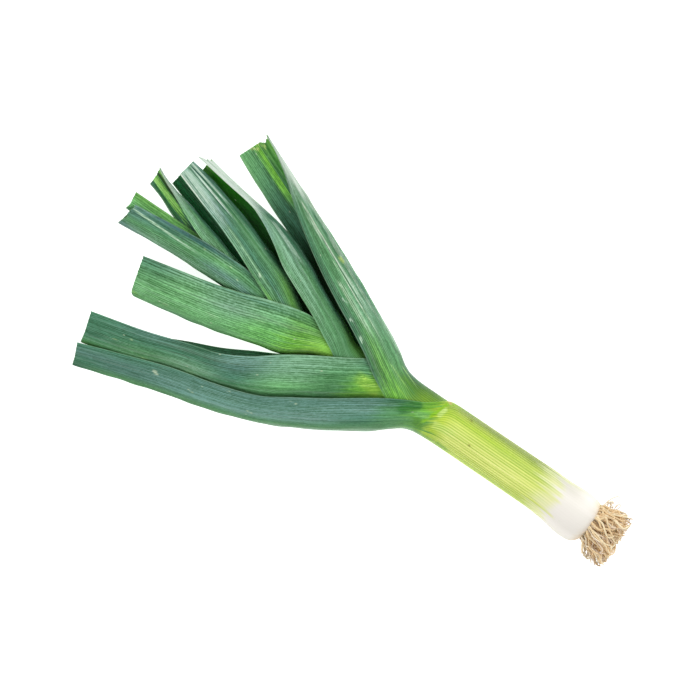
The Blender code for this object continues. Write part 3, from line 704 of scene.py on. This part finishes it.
def shape_leaf(leaf, rank):
    """A leaf's faces with veins, a keel, waves and thin margins, their colours, the values that
    the material reads, and how many rows its closed sheath has."""
    rng = np.random.default_rng(40 + rank)
    outer, inner, across, past, along, to_end, sheath_count = leaf_surfaces(leaf, rank, rng)
    towards = outer - inner
    outward = grid_normals(outer, towards)
    inward = -grid_normals(inner, towards)
    veins = leaf["veins"]
    phase = across * veins / 2
    number = np.clip(np.round(phase).astype(int) + veins, 0, 2 * veins)
    strength = rng.uniform(0.45, 1.35, 2 * veins + 1)[number]
    ridge = strength * (0.5 + 0.5 * np.cos(2 * math.pi * phase))
    on_blade = smoothstep(2.0, 26.0, past)
    drift = value_noise(rng, 40, 10, along / NOISE_LENGTH, 0.5 + 0.5 * across)
    ridge_height = VEIN_HEIGHT + VEIN_GROWTH * on_blade

    half_width = np.linalg.norm(outer[:, -1] - outer[:, across.shape[1] // 2], axis=-1)[:, None]
    from_margin = (1 - np.abs(across)) * half_width * 1.2
    at_margin = 1 - smoothstep(0.0, MARGIN_WIDTH, from_margin)
    thin = 1 - MARGIN_LOSS * smoothstep(0.0, 10.0, past) * at_margin
    keel = KEEL_HEIGHT * on_blade * np.exp(-(across / KEEL_WIDTH) ** 2)
    wave = WAVE_HEIGHT * on_blade * drift

    inner = outer + (inner - outer) * thin[..., None]
    outer = outer + outward * (ridge_height * ridge + keel + wave)[..., None]
    inner = inner + outward * wave[..., None] + inward * (0.5 * ridge_height * ridge)[..., None]
    for points in (outer, inner):
        points[..., 2] = np.maximum(points[..., 2], LOWEST)

    # The colour of a stripe between two veins reaches further along the leaf in some stripes.
    reach = rng.normal(0, 1, 2 * veins + 1)[number]
    strip = value_noise(rng, 12, 2 * veins, along / NOISE_LENGTH, (phase + veins) / (2 * veins))
    band = value_noise(rng, 9, 9, along / NOISE_LENGTH, 0.5 + 0.5 * across)
    white_ends = smoothstep(14.0, 30.0, along) * (1 - smoothstep(50.0, 75.0, along))
    green_starts = smoothstep(-20.0, 5.0, past) * (1 - smoothstep(25.0, 90.0, past))
    shift = reach * (0.6 + 3.4 * white_ends + 2.4 * green_starts) + 2.0 * band * white_ends
    outer_tint = blend_tints(leaf["outer"], outer[..., 0] + shift, across)
    inner_tint = blend_tints(leaf["inner"], inner[..., 0] + 0.5 * shift, across)
    ragged = 1.2 * reach * smoothstep(15.0, 50.0, past)
    upper_marks = leaf.get("upper_marks", [])
    gutter_marks = leaf.get("gutter_marks", [])
    outer_tint = paint_marks(outer_tint, outer, across >= 0, ragged, upper_marks)
    inner_tint = paint_marks(inner_tint, inner, across < 0, ragged, gutter_marks)
    grooved = 0.35 + 0.65 * smoothstep(-10.0, 30.0, past)
    tone = (GROOVE_LOSS - 1) * grooved + 0.05 * strip + 0.05 * band
    tone = 1 + tone * smoothstep(16.0, 60.0, along)
    outer_tint = outer_tint * np.minimum(tone, 0.97 / outer_tint.max(axis=-1))[..., None]
    inner_tint = inner_tint * np.minimum(tone, 0.97 / inner_tint.max(axis=-1))[..., None]
    values = {
        "phase": phase, "along": along, "past": np.clip(past, -50, 400),
        "to_end": np.clip(to_end, 0, 200), "from_margin": np.clip(from_margin, 0, 100),
    }
    return (outer, inner), (outer_tint, inner_tint), values, sheath_count


# ---- Meshes ----

def add_object(name, data):
    obj = bpy.data.objects.new(name, data)
    bpy.context.scene.collection.objects.link(obj)
    return obj


def make_piece(name, points, faces):
    """A piece of the leek, from points in design millimetres."""
    world = np.asarray(points, float) * MM + DESIGN_ORIGIN
    mesh = bpy.data.meshes.new(name)
    mesh.from_pydata(world.tolist(), [], faces)
    mesh.update()
    obj = add_object(name, mesh)
    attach(obj, "root")
    return obj


def add_value(obj, name, values):
    layer = obj.data.attributes.new(name, "FLOAT", "POINT")
    layer.data.foreach_set("value", np.asarray(values, np.float32).ravel())


def add_color(obj, name, colors):
    layer = obj.data.color_attributes.new(name, "FLOAT_COLOR", "POINT")
    rgba = np.concatenate([colors, np.ones((len(colors), 1))], axis=1)
    layer.data.foreach_set("color", rgba.astype(np.float32).ravel())


def leaf_mesh(leaf, rank):
    """One leaf as one closed mesh: outer and inner faces, margins and cut ends."""
    surfaces, tints, values, closed = shape_leaf(leaf, rank)
    rows, columns = values["phase"].shape
    count = rows * columns
    index = np.arange(count).reshape(rows, columns)
    # Around the closed sheath the last column is the first one again.
    index[:closed, -1] = index[:closed, 0]
    inner = index + count

    def quads(*corners):
        return np.stack([corner.ravel() for corner in corners], axis=1)

    faces = [
        quads(index[:-1, :-1], index[:-1, 1:], index[1:, 1:], index[1:, :-1]),
        quads(inner[:-1, :-1], inner[1:, :-1], inner[1:, 1:], inner[:-1, 1:]),
        quads(index[0, :-1], inner[0, :-1], inner[0, 1:], index[0, 1:]),
        quads(index[-1, :-1], index[-1, 1:], inner[-1, 1:], inner[-1, :-1]),
        quads(index[closed - 1:-1, 0], index[closed:, 0], inner[closed:, 0],
              inner[closed - 1:-1, 0]),
        quads(index[closed - 1:-1, -1], inner[closed - 1:-1, -1], inner[closed:, -1],
              index[closed:, -1]),
    ]
    faces = np.concatenate(faces)
    # The upper half turns the other way round on leaves that fold to the other side.
    if leaf["side"] > 0:
        faces = faces[:, ::-1]
    points = np.concatenate([surface.reshape(-1, 3) for surface in surfaces])
    used = np.zeros(2 * count, bool)
    used[faces.ravel()] = True
    renumber = np.cumsum(used) - 1
    obj = make_piece(f"fresh_{leaf['name']}", points[used], renumber[faces].tolist())
    for name, value in values.items():
        add_value(obj, name, np.tile(value.ravel(), 2)[used])
    add_value(obj, "inside", np.repeat([0.0, 1.0], count)[used])
    add_color(obj, "tint", np.concatenate([tint.reshape(-1, 3) for tint in tints])[used])
    obj.data.shade_smooth()
    obj.data.set_sharp_from_angle(angle=math.radians(50))
    return obj


# ---- Materials ----

COARSE_BUMP = 0.00012       # metres, for veins and grooves
FINE_BUMP = 0.00008         # metres, for grain and pores


class Nodes:
    """A short way to write a material's node tree."""

    def __init__(self, name):
        self.material = bpy.data.materials.new(name)
        self.material.use_nodes = True
        self.tree = self.material.node_tree
        self.shader = self.tree.nodes["Principled BSDF"]

    def set(self, socket, value):
        """Links value if it is a node's output, and else sets the socket to it."""
        if isinstance(value, bpy.types.NodeSocket):
            self.tree.links.new(value, socket)
        elif isinstance(value, (tuple, list)) and socket.type == "RGBA" and len(value) == 3:
            socket.default_value = (*value, 1.0)
        else:
            socket.default_value = value

    def add(self, kind, *values, **named):
        """A new node of a kind, with its inputs given in order or by name."""
        node = self.tree.nodes.new(f"ShaderNode{kind}")
        for name, value in (*enumerate(values), *named.items()):
            self.set(node.inputs[name], value)
        return node

    def attribute(self, name, output="Fac"):
        node = self.add("Attribute")
        node.attribute_name = name
        return node.outputs[output]

    def math(self, operation, *values):
        node = self.add("Math", *values)
        node.operation = operation
        return node.outputs[0]

    def plus(self, a, b):
        return self.math("ADD", a, b)

    def minus(self, a, b):
        return self.math("SUBTRACT", a, b)

    def times(self, a, b):
        return self.math("MULTIPLY", a, b)

    def noise(self, place, scale, detail=2.0, roughness=0.5):
        node = self.add("TexNoise", Vector=place, Scale=scale, Detail=detail, Roughness=roughness)
        return node.outputs["Fac"]

    def fibres(self, across, along, seed, detail, roughness=0.5):
        """Noise that is drawn out where along grows slowly."""
        place = self.add("CombineXYZ", across, along, seed).outputs[0]
        return self.noise(place, 1.0, detail, roughness)

    def ramp(self, value, low, high, to_low=0.0, to_high=1.0):
        node = self.add("MapRange", value, low, high, to_low, to_high)
        node.interpolation_type = "SMOOTHSTEP"
        return node.outputs[0]

    def mix(self, share, a, b, blend="MIX"):
        node = self.tree.nodes.new("ShaderNodeMix")
        node.data_type = "RGBA"
        node.blend_type = blend
        self.set(node.inputs["Factor"], share)
        self.set(node.inputs["A"], a)
        self.set(node.inputs["B"], b)
        return node.outputs["Result"]

    def channel(self, color, number):
        return self.add("SeparateColor", color).outputs[number]

    def bump(self, height, distance, strength):
        return self.add("Bump", Height=height, Distance=distance, Strength=strength)

    def finish(self, **inputs):
        for name, value in inputs.items():
            self.set(self.shader.inputs[name.replace("_", " ")], value)
        return self.material


def leaf_material(name, seed, contrast):
    """Leaf skin: tinted zones, strips between fine veins, wax, specks and pale edges."""
    n = Nodes(name)
    phase = n.attribute("phase")
    along = n.attribute("along")
    tint = n.attribute("tint", "Color")
    on_blade = n.ramp(n.attribute("past"), -4.0, 24.0)
    calm = n.times(n.ramp(along, 20.0, 54.0, 0.06, 1.0),
                   n.ramp(n.channel(tint, 2), 0.40, 0.75, 1.0, 0.55))

    def fibres(across, spread, stretch, shift, *look):
        return n.fibres(n.times(across, spread), n.times(along, stretch), seed + shift, *look)

    # Strips between veins: each has its own tone, with a crisp groove to the next.
    wobble = fibres(phase, 0.4, 0.015, 0, 2.0)
    swing = n.times(n.minus(wobble, 0.5), n.ramp(on_blade, 0, 1, 0.2, 1.1))
    shifted = n.plus(phase, swing)
    strip_tone = fibres(n.math("FLOOR", shifted), 3.7, 0.009, 2, 1.0)
    pair_tone = fibres(n.math("FLOOR", n.times(shifted, 0.5)), 2.9, 0.013, 4, 2.0)
    line_tone = fibres(n.math("ROUND", shifted), 5.3, 0.02, 11, 2.0)
    groove = n.ramp(n.math("PINGPONG", shifted, 0.5), 0.05, 0.27, 1.0, 0.0)
    ridge = n.ramp(n.math("PINGPONG", n.plus(shifted, 0.5), 0.5), 0.0, 0.26, 1.0, 0.0)

    # Streaks wider than the strips, and a finer grain, both drawn out along the leaf.
    streak = fibres(phase, 0.45, 0.006, 5, 3.0, 0.6)
    grain = fibres(phase, 2.2, 0.12, 7, 3.0, 0.65)
    pores = fibres(phase, 1.7, 0.42, 9, 3.0, 0.7)

    def scaled(*factors):
        factors = [tuple(part ** contrast for part in factor) for factor in factors]
        return n.mix(1.0, tint, n.mix(on_blade, *factors), "MULTIPLY")

    dark = scaled((0.62, 0.75, 0.46), (0.34, 0.50, 0.34))
    light = scaled((1.18, 1.12, 1.35), (1.55, 1.42, 1.58))
    light = n.mix(1.0, light, (0.93, 0.97, 0.88), "DARKEN")

    # Each layer: what it reads, from where to where, its strength there, where it lies, and
    # whether it darkens or lightens.
    grainy = n.ramp(on_blade, 0.0, 1.0, 0.35, 1.0)
    layers = [
        (streak, 0.36, 0.54, 0.48, 0.0, 1.0, dark),
        (strip_tone, 0.32, 0.50, 0.46, 0.0, 1.0, dark),
        (strip_tone, 0.50, 0.68, 0.0, 0.75, 1.0, light),
        (pair_tone, 0.32, 0.48, 0.36, 0.0, 1.0, dark),
        (pair_tone, 0.54, 0.72, 0.0, 0.50, 1.0, light),
        (line_tone, 0.34, 0.62, 0.12, 1.0, groove, dark),
        (on_blade, 0, 1, 0.75, 0.45, ridge, light),
        (grain, 0.32, 0.48, 0.50, 0.0, grainy, dark),
        (grain, 0.53, 0.69, 0.0, 0.65, grainy, light),
        (pores, 0.34, 0.48, 0.45, 0.0, on_blade, dark),
        (pores, 0.53, 0.68, 0.0, 0.45, on_blade, light),
    ]
    color = tint
    for value, low, high, at_low, at_high, within, toward in layers:
        share = n.times(n.ramp(value, low, high, at_low, at_high), within)
        color = n.mix(n.times(share, calm), color, toward)

    # Wax bloom: a thin pale blue-grey cast on the outer face of the blade, in long patches.
    patches = n.times(n.ramp(streak, 0.48, 0.70, 0.0, 0.12), on_blade)
    lines = n.times(n.ramp(line_tone, 0.58, 0.72, 0.0, 0.30), n.times(ridge, on_blade))
    outside = n.minus(1.0, n.attribute("inside"))
    color = n.mix(n.times(n.plus(patches, lines), outside), color, (0.50, 0.66, 0.58))

    # Specks and short scars, longer than they are wide.
    place = n.add("CombineXYZ", n.times(phase, 0.34), n.times(along, 0.11), seed).outputs[0]
    cells = n.add("TexVoronoi", Vector=place, Scale=1.0).outputs
    chosen = n.ramp(n.channel(cells["Color"], 0), 0.88, 0.90)
    speck = n.times(n.ramp(cells["Distance"], 0.05, 0.15, 1.0, 0.0), chosen)
    speck = n.times(speck, n.ramp(on_blade, 0.0, 1.0, 0.1, 0.65))
    color = n.mix(speck, color, (0.58, 0.70, 0.48))

    # Pale edges: the thin margin and the cut end.
    margin = n.times(n.ramp(n.attribute("from_margin"), 0.10, 0.45, 0.25, 0.0), on_blade)
    color = n.mix(margin, color, (0.42, 0.62, 0.36))
    color = n.mix(n.ramp(n.attribute("to_end"), 0.05, 0.35, 0.4, 0.0), color, (0.36, 0.56, 0.28))

    rough = n.ramp(streak, 0.3, 0.7, 0.36, 0.50)
    rough = n.plus(rough, n.times(n.minus(grain, 0.5), 0.2))
    height = n.plus(n.minus(n.times(ridge, 0.7), groove), n.times(pair_tone, 1.2))
    coarse = n.bump(n.times(height, calm), COARSE_BUMP, 0.9)
    fine = n.bump(n.times(n.plus(grain, n.times(pores, 0.6)), on_blade), FINE_BUMP, 0.6)
    n.set(fine.inputs["Normal"], coarse.outputs["Normal"])
    return n.finish(Base_Color=color, Roughness=rough, Normal=fine.outputs["Normal"], IOR=1.33)


def root_material():
    """Dry root skin: straw to tan, wrinkled lengthwise, browner in the creases."""
    n = Nodes("root_skin")
    along = n.attribute("along")
    around = n.attribute("around")
    strand = n.attribute("strand")
    tint = n.attribute("tint", "Color")
    wrinkle = n.fibres(n.times(around, 6.0), n.times(along, 0.9), strand, 4.0, 0.6)
    blotch = n.fibres(around, n.times(along, 0.35), strand, 3.0)
    color = n.mix(n.ramp(wrinkle, 0.34, 0.52, 0.36, 0.0), tint, (0.46, 0.30, 0.15))
    color = n.mix(n.ramp(blotch, 0.50, 0.70, 0.0, 0.4), color, (0.90, 0.76, 0.52))
    normal = n.bump(wrinkle, 0.00025, 0.9).outputs["Normal"]
    return n.finish(Base_Color=color, Roughness=n.ramp(blotch, 0.3, 0.7, 0.55, 0.8),
                    Normal=normal, Sheen_Weight=0.1)


def crown_material():
    """The root plate: tan and fibrous, darker in its creases."""
    n = Nodes("root_crown")
    place = n.add("NewGeometry").outputs["Position"]
    rough_noise = n.noise(place, 700.0, 4.0, 0.65)
    broad = n.noise(place, 180.0, 3.0)
    creases = n.ramp(rough_noise, 0.35, 0.6, 0.8, 0.0)
    color = n.mix(creases, (0.62, 0.44, 0.24), (0.22, 0.12, 0.05))
    color = n.mix(n.ramp(broad, 0.45, 0.7, 0.0, 0.5), color, (0.80, 0.66, 0.45))
    return n.finish(Base_Color=color, Roughness=n.ramp(broad, 0.3, 0.7, 0.65, 0.9),
                    Normal=n.bump(rough_noise, 0.0004, 1.0).outputs["Normal"])


def floor_material():
    """A white lit table, so that shadows on it stay soft and pale."""
    n = Nodes("floor")
    return n.finish(Base_Color=(0.90, 0.90, 0.90), Roughness=0.9,
                    Emission_Color=(1.0, 1.0, 1.0), Emission_Strength=0.80)


# ---- Roots ----

STRANDS_PER_ROOT = 15
WISPS_PER_ROOT = 3          # thin strands that stray from the bulb's wide side
STRAND_SIDES = 7
STRAND_STEP = 0.8           # the length of a strand's segments, roughly
ROOT_COLORS = [(250, 233, 194), (246, 221, 176), (238, 208, 160), (253, 240, 214),
               (224, 194, 150), (236, 214, 190)]
TUFT_LENGTH = 27.6          # how far the longest strands reach past the plate
TUFT_HEIGHTS = (0.8, 36.8)  # from just over the table to the bulb's top
TUFT_SIDES = (-22.6, 16.4)  # the tuft is wider on one side, where it lies on the table
ROOTING_RADIUS = 12.4       # how far from the plate's middle a strand may start


def strand_path(rng, start, wisp):
    """A root that leaves the plate outward and wanders to its own place in the tuft."""
    y, z = start
    if wisp:
        target = np.array([rng.uniform(5, 13), rng.uniform(16.5, 21), rng.uniform(12, 30)])
    else:
        side = np.clip(-3.0 + 1.6 * y + rng.normal(0, 3.0), *TUFT_SIDES)
        far = TUFT_LENGTH - 2.0 * rng.power(0.7) - 12.0 * rng.power(0.55)
        height = np.clip(BULB_HEIGHT + 1.22 * z + rng.normal(0, 3.0), 1.8, 35.5)
        target = np.array([far, side, height])
    base = np.array([0.8, y, BULB_HEIGHT + z])
    span = np.linalg.norm(target - base)
    leave = np.array([1.0, 0.035 * y, 0.035 * z]) * span + rng.normal(0, 7.0, 3)
    arrive = 0.2 * (target - base) + rng.normal(0, 20.0, 3)
    t = np.linspace(0, 1, int(1.5 * span / STRAND_STEP) + 8)[:, None]
    path = cubic(t, base, leave, target, arrive)
    turns = rng.uniform(0.8, 2.3, 3)
    sway = rng.uniform(0.8, 3.2, 3) * [0.7, 1.0, 0.6]
    path = path + sway * np.sqrt(t) * np.sin(2 * math.pi * (turns * t + rng.uniform(0, 1, 3)))
    path = path - (path[0] - base) * (1 - t) ** 3
    path[:, 0] = np.maximum(path[:, 0], 0.6 + 1.6 * np.minimum(1, 6 * t[:, 0]))
    path[:, 2] = np.clip(path[:, 2], *TUFT_HEIGHTS)
    # A strand ends where it leaves the tuft, a little sooner or later than the next one.
    short = rng.exponential(1.3, 3)
    x, y = path[:, :2].T
    past_end = x > TUFT_LENGTH - short[0]
    past_one_side = y > 17.0 + 0.10 * x - short[1]
    past_other_side = -y > np.minimum(24.0, 15.0 + 1.1 * x) - short[2]
    outside = past_end | ((past_one_side | past_other_side) & (not wisp))
    shown = np.argmax(outside) if outside.any() else len(path)
    return path[:max(shown, 8)]


def strand_tube(rng, path, radius):
    """Rings of points along a path, flattened, knobbly and tapering to a thin tip."""
    count = len(path)
    share = np.linspace(0, 1, count)
    knobs = 1 + 0.08 * np.sin(rng.uniform(0.8, 1.6) * np.arange(count))
    taper = radius * (1 - 0.50 * share ** 1.6) * knobs
    taper[-1] *= 0.35
    tangent = np.gradient(path, axis=0)
    tangent /= np.linalg.norm(tangent, axis=1, keepdims=True)
    side = np.cross(tangent, [0.12, 0.31, 0.94])
    side /= np.linalg.norm(side, axis=1, keepdims=True)
    up = np.cross(side, tangent)
    angle = np.linspace(0, 2 * math.pi, STRAND_SIDES, endpoint=False)
    flat = rng.uniform(0.6, 0.95)
    ring = (np.cos(angle)[None, :, None] * side[:, None, :]
            + flat * np.sin(angle)[None, :, None] * up[:, None, :])
    return path[:, None, :] + ring * taper[:, None, None]


def root_strands(number, start, material):
    """The fine roots that stand for one root of the CAD."""
    rng = np.random.default_rng(900 + number)
    points = []
    faces = []
    colors = []
    values = {"along": [], "around": [], "strand": []}
    base = 0
    wisps = WISPS_PER_ROOT if start[0] > 8.0 else 0
    for k in range(STRANDS_PER_ROOT + wisps):
        wisp = k >= STRANDS_PER_ROOT
        at = np.array(start) + rng.normal(0, 1.5, 2)
        at *= min(1.0, ROOTING_RADIUS / np.linalg.norm(at))
        path = strand_path(rng, at, wisp)
        radius = rng.uniform(0.36, 0.50) if wisp else rng.uniform(0.50, 0.96)
        rings = strand_tube(rng, path, radius)
        rows = len(rings)
        points.append(rings.reshape(-1, 3))
        index = base + np.arange(rows * STRAND_SIDES).reshape(rows, STRAND_SIDES)
        after = np.roll(index, -1, axis=1)
        faces += np.stack([index[:-1], after[:-1], after[1:], index[1:]],
                          axis=-1).reshape(-1, 4).tolist()
        faces.append(index[0][::-1].tolist())
        faces.append(index[-1].tolist())
        place = np.repeat(np.arange(rows) * STRAND_STEP, STRAND_SIDES)
        values["along"].append(place)
        values["around"].append(np.tile(np.arange(STRAND_SIDES) / STRAND_SIDES, rows))
        values["strand"].append(np.full(rows * STRAND_SIDES, number + 0.17 * k))
        color = to_linear(ROOT_COLORS[rng.integers(len(ROOT_COLORS))])
        # Painted shade: each strand is darker near the plate and lower down in the tuft, where the
        # strands shade each other.
        height = rings.reshape(-1, 3)[:, 2]
        shade = (0.70 + 0.30 * smoothstep(0, 6, place)) * (0.34 + 0.66 * smoothstep(5, 26, height))
        colors.append(color * shade[:, None])
        base += rows * STRAND_SIDES
    obj = make_piece(f"root_strands_{number:02d}", np.concatenate(points), faces)
    for name, value in values.items():
        add_value(obj, name, np.concatenate(value))
    add_color(obj, "tint", np.concatenate(colors))
    obj.data.shade_smooth()
    obj.data.materials.append(material)
    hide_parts(f"root_{number:02d}")


def root_crown(material):
    """The root plate as a bumpy tan disc."""
    rng = np.random.default_rng(77)
    sides = 72
    rings = [(PLATE_BACK, 0.01), (PLATE_BACK, 13.6), (PLATE_BACK + 0.8, 14.1), (0.2, 14.0),
             (1.2, 12.9), (2.2, 12.2), (2.8, 11.0), (3.1, 8.5), (3.2, 6.0), (3.3, 3.5),
             (3.3, 1.5), (3.3, 0.01)]
    angle = np.linspace(0, 2 * math.pi, sides, endpoint=False)
    points = []
    for level, (x, radius) in enumerate(rings):
        bump = rng.uniform(-1, 1, sides) * (0.35 if 3 <= level < len(rings) - 1 else 0.0)
        reach = radius * (1 + 0.02 * np.sin(5 * angle + level) * (radius > 1))
        height = BULB_HEIGHT + reach * np.sin(angle)
        points.append(np.stack([x + bump, reach * np.cos(angle), height], axis=-1))
    points = np.array(points)
    index = np.arange(len(rings) * sides).reshape(len(rings), sides)
    after = np.roll(index, -1, axis=1)
    faces = np.stack([index[:-1], index[1:], after[1:], after[:-1]], axis=-1).reshape(-1, 4)
    faces = faces.tolist() + [index[0].tolist(), index[-1][::-1].tolist()]
    obj = make_piece("root_crown", points.reshape(-1, 3), faces)
    obj.data.shade_smooth()
    obj.data.materials.append(material)
    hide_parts("root_plate")


# ---- Stage ----

FRAME_WIDTH = 0.490         # metres across the picture at the leek's height
PICTURE_ROLL = math.radians(34.1)
PICTURE_CENTRE = (-204.1, 5.5)  # in the design's own millimetres, as is FOCUS_HEIGHT
LENS = 200.0
SENSOR = 36.0
FOCUS_HEIGHT = 15.0
LIGHT_DISTANCE = 1.6        # metres
FLOOR_REACH = 3.0           # metres
FLOOR_GAP = 0.0003          # metres between the leek and the floor


def add_camera():
    data = bpy.data.cameras.new("camera")
    data.lens = LENS
    data.sensor_width = SENSOR
    data.clip_end = 20.0
    camera = add_object("camera", data)
    distance = FRAME_WIDTH * LENS / SENSOR
    centre = DESIGN_ORIGIN + np.array([*PICTURE_CENTRE, FOCUS_HEIGHT]) * MM
    camera.location = (centre[0], centre[1], centre[2] + distance)
    camera.rotation_euler = (0.0, 0.0, PICTURE_ROLL)
    bpy.context.scene.camera = camera


def add_softbox(name, direction, size, power):
    """A square area light that faces the leek from a direction."""
    data = bpy.data.lights.new(name, "AREA")
    data.shape = "SQUARE"
    data.size = size
    data.energy = power
    light = add_object(name, data)
    direction = Vector(direction).normalized()
    light.location = direction * LIGHT_DISTANCE
    light.rotation_euler = direction.to_track_quat("Z", "Y").to_euler()


def add_stage():
    mesh = bpy.data.meshes.new("floor")
    low = CAD_BOX[0][2] - FLOOR_GAP
    signs = [(-1, -1), (1, -1), (1, 1), (-1, 1)]
    corners = [(FLOOR_REACH * x, FLOOR_REACH * y, low) for x, y in signs]
    mesh.from_pydata(corners, [], [(0, 1, 2, 3)])
    floor = add_object("floor", mesh)
    mesh.materials.append(floor_material())
    world = bpy.data.worlds.new("studio")
    world.use_nodes = True
    background = world.node_tree.nodes["Background"]
    background.inputs["Color"].default_value = (1.0, 1.0, 1.0, 1.0)
    background.inputs["Strength"].default_value = 0.50
    bpy.context.scene.world = world
    add_softbox("softbox_left", (-0.5, -0.8, 1.1), size=1.0, power=7.5)
    add_softbox("softbox_right", (0.3, 0.9, 0.9), size=1.0, power=12.5)
    bpy.context.scene.view_settings.view_transform = "Standard"


# ---- Build ----

def root_starts():
    """The centre of each root's base, read from the frame, from the plate's middle."""
    starts = []
    for number in range(1, ROOT_COUNT + 1):
        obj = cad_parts[f"root_{number:02d}"]
        corners = np.array([vertex.co for vertex in obj.data.vertices])
        base = corners[corners[:, 0] < corners[:, 0].min() + 0.7 * MM].mean(axis=0)
        at = (base - DESIGN_ORIGIN) / MM
        starts.append((at[1], at[2] - BULB_HEIGHT))
    return starts


def main():
    add_camera()
    add_stage()
    for rank, leaf in enumerate(LEAVES):
        obj = leaf_mesh(leaf, rank)
        skin = leaf_material(f"skin_{leaf['name']}", 3.7 * rank + 1.0, leaf["contrast"])
        obj.data.materials.append(skin)
        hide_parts(leaf["name"])
    strands = root_material()
    for number, start in enumerate(root_starts(), start=1):
        root_strands(number, start, strands)
    root_crown(crown_material())


main()
